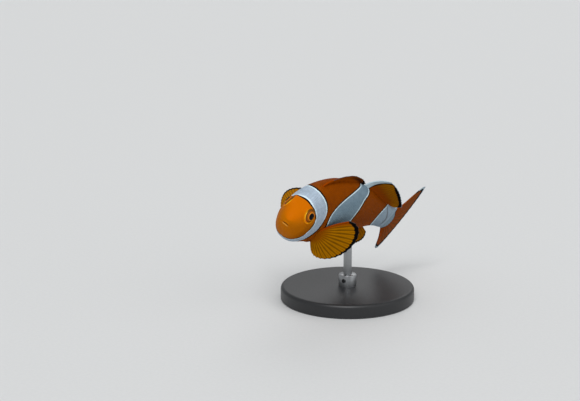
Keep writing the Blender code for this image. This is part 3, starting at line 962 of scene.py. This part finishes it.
def peaked(across, front, peak, rear):
    before = front + (1 - front) * np.sin(np.pi / 2 * np.minimum(across / peak, 1.0))
    after = 1 - (1 - rear) * (np.maximum(across - peak, 0.0) / (1 - peak)) ** 1.3
    return np.where(across < peak, before, after)


finSize = {  # the longest ray of each fin first
    "spiny": 6.7 * mm,
    "soft": 10.1 * mm,
    "anal": 10.5 * mm,
    "caudal": 18.2 * mm,
    "pectoral": 21.4 * mm,
    "pelvic": 15.5 * mm,
    "caudalRoot": 4.4 * mm,  # half the width of the tail fin's root
    "caudalSpread": 42.0,  # degrees to each side
    # station of the first ray's foot and its run to the last, and the same for their angle in degrees
    "pectoralRoot": (0.333, 0.012, 98.0, 29.0),
    "pelvicRoot": (0.39, 0.02, 153.0, 8.0),
    "pectoralCup": 1.2 * mm,
    "softSag": 0.62 * mm,
    "footOut": 0.45 * mm,  # how far out from the gap a paired fin's foot stands
    "pelvicTuck": 1.5 * mm,  # how far the foot runs up into the flesh
}


def caudalSheet(across, out, length):
    place = 2 * across - 1
    spread = math.radians(finSize["caudalSpread"]) * place
    root = stack(0.0, body["tail"] * body["length"] + body["gap"], place * finSize["caudalRoot"])
    return root + stack(0.0, np.cos(spread), np.sin(spread)) * (length(across) * out)[..., None]


def pectoralSheet(side, firstLift, sweep, flareEdge, flareMiddle):
    def middle(across, out, length):
        first, run, firstAngle, fan = finSize["pectoralRoot"]
        angle = side * np.radians(firstAngle + fan * across)
        station = first + run * across
        place = bodyPoint(station, angle)
        outward = place - stack(0.0, station * body["length"], 0.0)
        root = place + unit(outward) * (body["gap"] + finSize["footOut"])
        drop = np.radians(firstLift - sweep * across)
        flare = flareEdge + flareMiddle * np.sin(np.pi * across)
        ray = unit(stack(side * flare, np.cos(drop), np.sin(drop)))
        cup = stack(side * finSize["pectoralCup"] * out * out, 0.0, 0.0)
        return root + ray * (length(across) * out)[..., None] + cup
    return middle


def pelvicSheet(side):
    def middle(across, out, length):
        first, run, firstAngle, fan = finSize["pelvicRoot"]
        down = unit(np.array([side * 0.2, 0.0, -1.0]))
        root = bodyPoint(first + run * across, side * np.radians(firstAngle + fan * across))
        root = root + down * (body["gap"] + finSize["footOut"])
        drop = np.radians(-1 + 4 * across)
        ray = unit(stack(side * (0.07 - 0.05 * across), np.cos(drop), np.sin(drop)))
        tuck = finSize["pelvicTuck"] * fade(out, 0.0, 0.28)
        return root + ray * (length(across) * out)[..., None] - down * tuck[..., None]
    return middle


plainFin = {
    "steps": 34,  # along a ray
    "sunk": 0.08,  # how far the sheet runs into the body, in ray lengths
    "scallop": 0.22,  # mm between rays, at the margin
    "branch": 1.0,  # 0 for spines, which don't fork
    "clear": lambda a: 0.0 * a,  # mm of clear edge outside the black, across the fin
    "white": lambda a, out: -9.0 + 0 * a,  # mm inside the white; far outside where there is none
    "whiteTone": "#B4C6CE",
    "dusk": lambda a, edge: 0.0 * a,  # a band of painted shade, by the mm from the margin
}
# length is that of each ray, from the first to the last; a median sheet has its sign, its span of
# stations, and how its rays rise and lean in degrees. Black is mm of margin across the fin, burnt
# goes from root to margin, and veil darkens the membrane.
fins = {
    "dorsal_fin_spiny": {
        **plainFin,
        "length": lambda a: finSize["spiny"] * peaked(a, 0.72, 0.30, 0.13),
        "sheet": medianSheet(1, (0.265, 0.60), lambda a: 37 - 20 * a, lambda a: 14 + 0 * a),
        "rays": 10, "steps": 26, "sunk": 0.10, "scallop": 0.16, "branch": 0.0,
        "burnt": (0.9, 0.9), "veil": 0.22,
        "black": lambda a: 0.30 + 1.3 * ease(a, 0.80, 0.97),
        # painted shade in a band about 1.5 mm inside the margin
        "dusk": lambda a, edge: hump(edge, 1.5, 1.2) * ease(a, 0.25, 0.7),
    },
    "dorsal_fin_soft": {
        **plainFin,
        "length": lambda a: finSize["soft"] * rounded(a, 0.865, 0.58, 3),
        "sheet": settled(medianSheet(1, (0.62, 0.88), lambda a: 42 - 40 * a, lambda a: 36 + 72 * a)),
        "rays": 15, "burnt": (1.0, 0.12), "veil": 0.36,
        "black": lambda a: 1.75 * ease(a, 0.0, 0.3) * (1.0 - 0.25 * ease(a, 0.75, 1.0)),
        "clear": lambda a: 0.16 + 0.0 * a,
        "white": lambda a, out: 1.15 - 0.85 * out - 0.05 * out * out - a * 7.9,
    },
    "anal_fin": {
        **plainFin,
        "length": lambda a: finSize["anal"] * rounded(a, 0.75, 0.45, 3),
        "sheet": medianSheet(-1, (0.62, 0.835), lambda a: 37 - 13 * a, lambda a: 8 + 0 * a),
        "rays": 14, "burnt": (0.5, 0.2), "veil": 0.42,
        "black": lambda a: 0.9 + 0 * a,
        "clear": lambda a: 0.14 + 0.0 * a,
    },
    "caudal_fin": {
        **plainFin,
        "length": lambda a: finSize["caudal"] * (1 + 0.10 * (2 * a - 1) ** 2 - 0.28 * (2 * a - 1) ** 12),
        "sheet": caudalSheet,
        "rays": 15, "steps": 60, "sunk": 0.06, "scallop": 0.30, "burnt": (1.0, 0.9), "veil": 0.42,
        "black": lambda a: 1.5 + 0.3 * np.abs(2 * a - 1),
        "clear": lambda a: 0.5 + 1.3 * np.abs(2 * a - 1) ** 3,
        "white": lambda a, out: 4.3 * hump(a, 0.42, 0.30) - finSize["caudal"] / mm * out,
        "whiteTone": "#8496A2",
    },
}
for side, word, spread in ((1, "left", (30.6, 111, 0.08, 0.16)), (-1, "right", (-5, 68, 0.53, 0.73))):
    fins["pectoral_fin_" + word] = {
        **plainFin,
        "length": lambda a: finSize["pectoral"] * (1 - 0.47 * (1 - a) ** 5 - 0.90 * a ** 1.54),
        "sheet": pectoralSheet(side, *spread),
        "rays": 18, "steps": 60, "sunk": 0.05, "scallop": 0.30, "burnt": (0.0, 0.0), "veil": 0.62,
        "black": lambda a: 1.7 * fade(a, 0.12, 0.86) * ease(a, -0.03, 0.05),
    }
    fins["pelvic_fin_" + word] = {
        **plainFin,
        "length": lambda a: finSize["pelvic"] * rounded(a, 0.85, 0.5, 3),
        "sheet": pelvicSheet(side),
        "rays": 6, "steps": 50, "sunk": 0.05, "scallop": 0.30, "burnt": (0.3, 0.3), "veil": 0.4,
        "black": lambda a: 1.1 + 0 * a,
    }


def rayPattern(across, out, rays, branch):  # 1 on a ray, 0 on the membrane; rays fork towards the margin
    phase = across * (rays - 1)
    whole = np.abs(np.cos(np.pi * phase)) ** 3
    fork = 0.07 + 0.15 * ease(out, 0.35, 1.0)
    off = np.abs((phase + 0.5) % 1.0 - 0.5)
    forked = np.exp(-((off - fork) / 0.11) ** 2)
    share = branch * ease(out, 0.35, 0.6)
    return whole * (1 - share) + forked * share


finSheet = {
    "columns": 10,  # between two rays
    "rayHalf": (0.26, 0.13),  # mm of half thickness at the root, and how much of it is lost at the margin
    "webHalf": (0.16, 0.08),
    "edgeHalf": 0.35,  # share of it that is left at the very edge
}


def makeFin(name, fin, material):
    rays, rows, sheet, length = (fin[key] for key in ("rays", "steps", "sheet", "length"))
    columns = (rays - 1) * finSheet["columns"]
    across, out = np.meshgrid(np.linspace(0, 1, columns + 1), np.linspace(0, 1, rows + 1), indexing="ij")
    out = -fin["sunk"] + (1 + fin["sunk"]) * out
    outNow = np.maximum(out, 0.0)
    long = length(across) / mm
    gapShape = np.abs(np.sin(np.pi * across * (rays - 1))) ** 0.8
    reach = 1.0 - fin["scallop"] / long * gapShape * ease(outNow, 0.5, 1.0)
    small = 0.004
    middle = sheet(across, out * reach, length)
    before, after = np.maximum(across - small, 0), np.minimum(across + small, 1)
    cross = sheet(after, out, length) - sheet(before, out, length)
    run = sheet(across, out + small, length) - sheet(across, out - small, length)
    normal = unit(np.cross(cross, run))
    pattern = rayPattern(across, outNow, rays, fin["branch"])
    rayHalf, webHalf = (root - loss * outNow for root, loss in (finSheet["rayHalf"], finSheet["webHalf"]))
    edgeAway = np.minimum(across, 1 - across) * (rays - 1)
    half = webHalf + (rayHalf - webHalf) * np.maximum(pattern, fade(edgeAway, 0.0, 0.35))
    left = finSheet["edgeHalf"]
    half = half * (left + (1 - left) * np.sqrt(np.clip((1.0 - outNow) * long / 0.5, 0.0, 1.0)))
    thick = normal * (half * mm)[..., None]
    rest = np.vstack([(middle + thick).reshape(-1, 3), (middle - thick).reshape(-1, 3)])
    wide = rows + 1
    size = (columns + 1) * wide
    faces = []
    for column in range(columns):
        for row in range(rows):
            corner = column * wide + row
            quad = (corner, corner + wide, corner + wide + 1, corner + 1)
            faces += [quad, tuple(size + index for index in reversed(quad))]
    rim = list(range(rows))
    rim += [column * wide + rows for column in range(columns)]
    rim += [columns * wide + row for row in range(rows, 0, -1)]
    rim += [column * wide for column in range(columns, 0, -1)]
    for here, after in zip(rim, rim[1:] + rim[:1]):
        faces.append((after, here, size + here, size + after))
    fromEdge = (1.0 - outNow) * long * reach
    clear = fin["clear"](across)
    atRoot, atMargin = fin["burnt"]
    marks = {
        "black": fin["black"](across) + clear - fromEdge,
        "clear": clear - fromEdge,
        "white": fin["white"](across, outNow),
        "ray": pattern,
        "lead": fade(across, 0.0, 0.12),
        "out": outNow,
        "burnt": atRoot + (atMargin - atRoot) * ease(outNow, 0.05, 0.75),
        "veil": fin["veil"] * (0.35 + 0.65 * ease(outNow, 0.05, 0.4)),
        "dusk": fin["dusk"](across, fromEdge),
    }
    marks = {key: np.tile(values.ravel(), 2) for key, values in marks.items()}
    marks["whiteTone"] = np.tile(hexColour(fin["whiteTone"])[:3], (len(rest), 1))
    marks["rest"] = rest / mm
    return addPiece("fin_" + name, posed(rest), faces, material, "orange_fin", (name,), marks=marks)


finPaint = {
    "raysDark": "#A26600",
    "raysLight": "#B47400",
    "burnt": "#803600",
    "root": "#8A3E00",
    "membrane": "#4A3203",
    # painted shade for the band under the spiny fin's margin
    "dusk": "#2E1203",
    "firstRay": "#963E00",
    "margin": "#0C0A0A",
    "clearEdge": "#A4B2BA",
    "gloss": 0.012,
}


def finMaterial():
    # Dried fin membrane, painted and varnished: amber rays, olive-brown membrane, soot-black margin, and a
    # band of painted shade under the spiny fin's margin
    made, tree, shader = newMaterial("finMembrane")
    keys = ("black", "clear", "white", "ray", "lead", "out", "burnt", "veil", "dusk")
    read = {key: addNode(tree, "Attribute", {"attribute_name": key}, {}).outputs["Fac"] for key in keys}
    place, whiteTone = (addNode(tree, "Attribute", {"attribute_name": key}, {}).outputs["Vector"]
                        for key in ("rest", "whiteTone"))
    broad = addNode(tree, "TexNoise", {}, {"Vector": place, "Scale": 0.45, "Detail": 2.0})
    fine = addNode(tree, "TexNoise", {}, {"Vector": place, "Scale": 4.0, "Detail": 2.0})
    root = addNode(tree, "MapRange", smooth, {
        "Value": read["out"], "From Max": 0.45, "To Min": 0.75, "To Max": 0.0})
    web = addNode(tree, "MapRange", smooth, {
        "Value": read["ray"], "From Max": 0.42, "To Min": 1.0, "To Max": 0.0})
    web = addNode(tree, "Math", times, {0: web, 1: read["veil"]})
    # painted shade in a band under the margin of the spiny fin
    shadeBand = addNode(tree, "Math", times, {0: read["dusk"], 1: 0.95})
    jitter = addNode(tree, "Math", timesPlus, {0: fine, 1: 0.30, 2: -0.15})
    # black runs in between the rays
    fringe = addNode(tree, "Math", timesPlus, {0: read["ray"], 1: -0.22, 2: jitter})
    depth = addNode(tree, "Math", plus, {0: read["black"], 1: fringe})
    black, whiteLine, white, clear = (  # where each marking starts and is full, in mm
        addNode(tree, "MapRange", smooth, {"Value": value, "From Min": start, "From Max": stop})
        for value, start, stop in ((depth, -0.12, 0.12), (read["white"], -0.35, -0.22),
                                   (read["white"], -0.06, 0.06), (read["clear"], -0.05, 0.08)))
    colour = addNode(tree, "Mix", rgba, {0: broad, 6: finPaint["raysDark"], 7: finPaint["raysLight"]})
    for amount, above in (
            (read["burnt"], finPaint["burnt"]), (root, finPaint["root"]), (web, finPaint["membrane"]),
            (shadeBand, finPaint["dusk"]), (read["lead"], finPaint["firstRay"]), (black, finPaint["margin"]),
            (whiteLine, finPaint["margin"]), (white, whiteTone), (clear, finPaint["clearEdge"])):
        colour = addNode(tree, "Mix", rgba, {0: amount, 6: colour, 7: above})
    rough = addNode(tree, "MapRange", {}, {"Value": fine, "To Min": 0.55, "To Max": 0.70})
    bump = addNode(tree, "Bump", {}, {"Strength": 0.4, "Distance": 0.06 * mm, "Height": fine})
    setSockets(tree, shader, {
        "Base Color": colour, "Roughness": rough, "Normal": bump, "Specular IOR Level": finPaint["gloss"]})
    return made


membrane = finMaterial()
for name, fin in fins.items():
    makeFin(name, fin, membrane)
print("fins made,", len(fins))


# Stand

stand = {
    "baseRadius": 24 * mm,
    "baseHeight": 5 * mm,
    "bevel": 1.2 * mm,
    "rodRadius": 1.5 * mm,
    "rodTop": 31 * mm,
    "collarRadius": 3.2 * mm,
    "collarHeight": 4 * mm,
    "gap": 0.3 * mm,
    "screwRadius": 0.75 * mm,
    "screwSocket": 0.36 * mm,
    "screwHeight": 2.4 * mm,  # above the base
    "screwTurn": 20.0,
    "screwProud": 0.42 * mm,
}


def makeScrew(material):  # grub screw with a hexagon socket, its end a little proud of the collar
    count, chamfer = 36, 0.12 * mm
    turns, corners = np.arange(count) * np.pi / 18, np.floor(np.arange(count) / 6.0) * np.pi / 3
    outer, corner, after = (stack(np.cos(a), np.sin(a), 0.0) for a in (turns, corners, corners + np.pi / 3))
    part = ((np.arange(count) % 6) / 6.0)[:, None]
    inner = (corner * (1 - part) + after * part) * stand["screwSocket"]
    radius = stand["screwRadius"]
    points = np.vstack([
        outer * radius - [0, 0, 1.2 * mm], outer * radius - [0, 0, chamfer], outer * (radius - chamfer),
        inner, inner - [0, 0, 0.38 * mm]])
    turn = math.radians(stand["screwTurn"])
    out, side = np.array([math.sin(turn), -math.cos(turn), 0]), np.array([math.cos(turn), math.sin(turn), 0])
    up = np.array([0, 0, 1])
    place = out * (stand["collarRadius"] + stand["screwProud"])
    place = place + up * (stand["baseHeight"] + stand["screwHeight"])
    points = place + points[:, :1] * side + points[:, 1:2] * up + points[:, 2:] * out
    faces = [tuple(range(count)), tuple(range(4 * count, 5 * count))]
    faces += [face[::-1] for face in ringFaces(5, count)]
    addPiece("display_screw", points, faces, material, "stand_black", sharp=30)


def turned(name, profile, material, slot, nodes, segments=128):
    angles = np.arange(segments) * 2 * np.pi / segments
    points = np.array([(r * math.cos(a), r * math.sin(a), z) for r, z in profile for a in angles])
    faces = [face[::-1] for face in ringFaces(len(profile), segments)]
    faces += [tuple(reversed(range(segments))), tuple(range(len(points) - segments, len(points)))]
    return addPiece(name, points, faces, material, slot, nodes, sharp=30)


def blackMaterial():
    # Cast aluminium under satin black powder coat: even, dark, with an orange-peel ripple of 0.6 mm
    made, tree, shader = newMaterial("powderCoat")
    place = addNode(tree, "TexCoord", {}, {}).outputs["Object"]
    ripple = addNode(tree, "TexNoise", {}, {"Vector": place, "Scale": 1800.0, "Detail": 2.0})
    shade = addNode(tree, "Mix", rgba, {0: ripple, 6: "#17181A", 7: "#222325"})
    rough = addNode(tree, "MapRange", {}, {"Value": ripple, "To Min": 0.36, "To Max": 0.5})
    bump = addNode(tree, "Bump", {}, {"Strength": 0.25, "Distance": 0.05 * mm, "Height": ripple})
    setSockets(tree, shader, {"Base Color": shade, "Roughness": rough, "Normal": bump})
    return made


def steelMaterial():
    # Stainless steel rod, turned and brushed round: fine rings that stretch the highlight
    made, tree, shader = newMaterial("brushedSteel")
    place = addNode(tree, "TexCoord", {}, {}).outputs["Object"]
    # rings of 0.1 mm, coarser than real brushing, so that they show
    squeeze = addNode(tree, "Mapping", {}, {"Vector": place, "Scale": (200.0, 200.0, 9000.0)})
    lines = addNode(tree, "TexNoise", {}, {"Vector": squeeze, "Scale": 1.0, "Detail": 2.0})
    shade = addNode(tree, "Mix", rgba, {0: lines, 6: "#8E9092", 7: "#AEB0B2"})
    rough = addNode(tree, "MapRange", {}, {"Value": lines, "To Min": 0.22, "To Max": 0.42})
    setSockets(tree, shader, {"Base Color": shade, "Roughness": rough, "Metallic": 1.0})
    return made


def makeStand():
    black, steel = blackMaterial(), steelMaterial()
    r, foot, b = stand["baseRadius"], stand["baseHeight"], stand["bevel"]
    profile = [(r - 0.4 * mm, 0.0), (r, 0.4 * mm)]
    for turn in np.linspace(0.0, math.pi / 2, 9):
        profile.append((r - b * (1 - math.cos(turn)), foot - b * (1 - math.sin(turn))))
    turned("display_base", profile, black, "stand_black", ("stand_base",))
    top = foot + stand["gap"] + stand["collarHeight"]
    c = stand["collarRadius"]
    profile = [(c, foot), (c, top - 0.5 * mm), (c - 0.15 * mm, top - 0.15 * mm), (c - 0.5 * mm, top)]
    turned("display_collar", profile, steel, "stand_steel", ("stand_ferrule",), 96)
    profile = [(stand["rodRadius"], top - 1 * mm), (stand["rodRadius"], stand["rodTop"])]
    turned("display_rod", profile, steel, "stand_steel", ("stand_rod",), 64)
    makeScrew(black)


makeStand()
print("stand made")
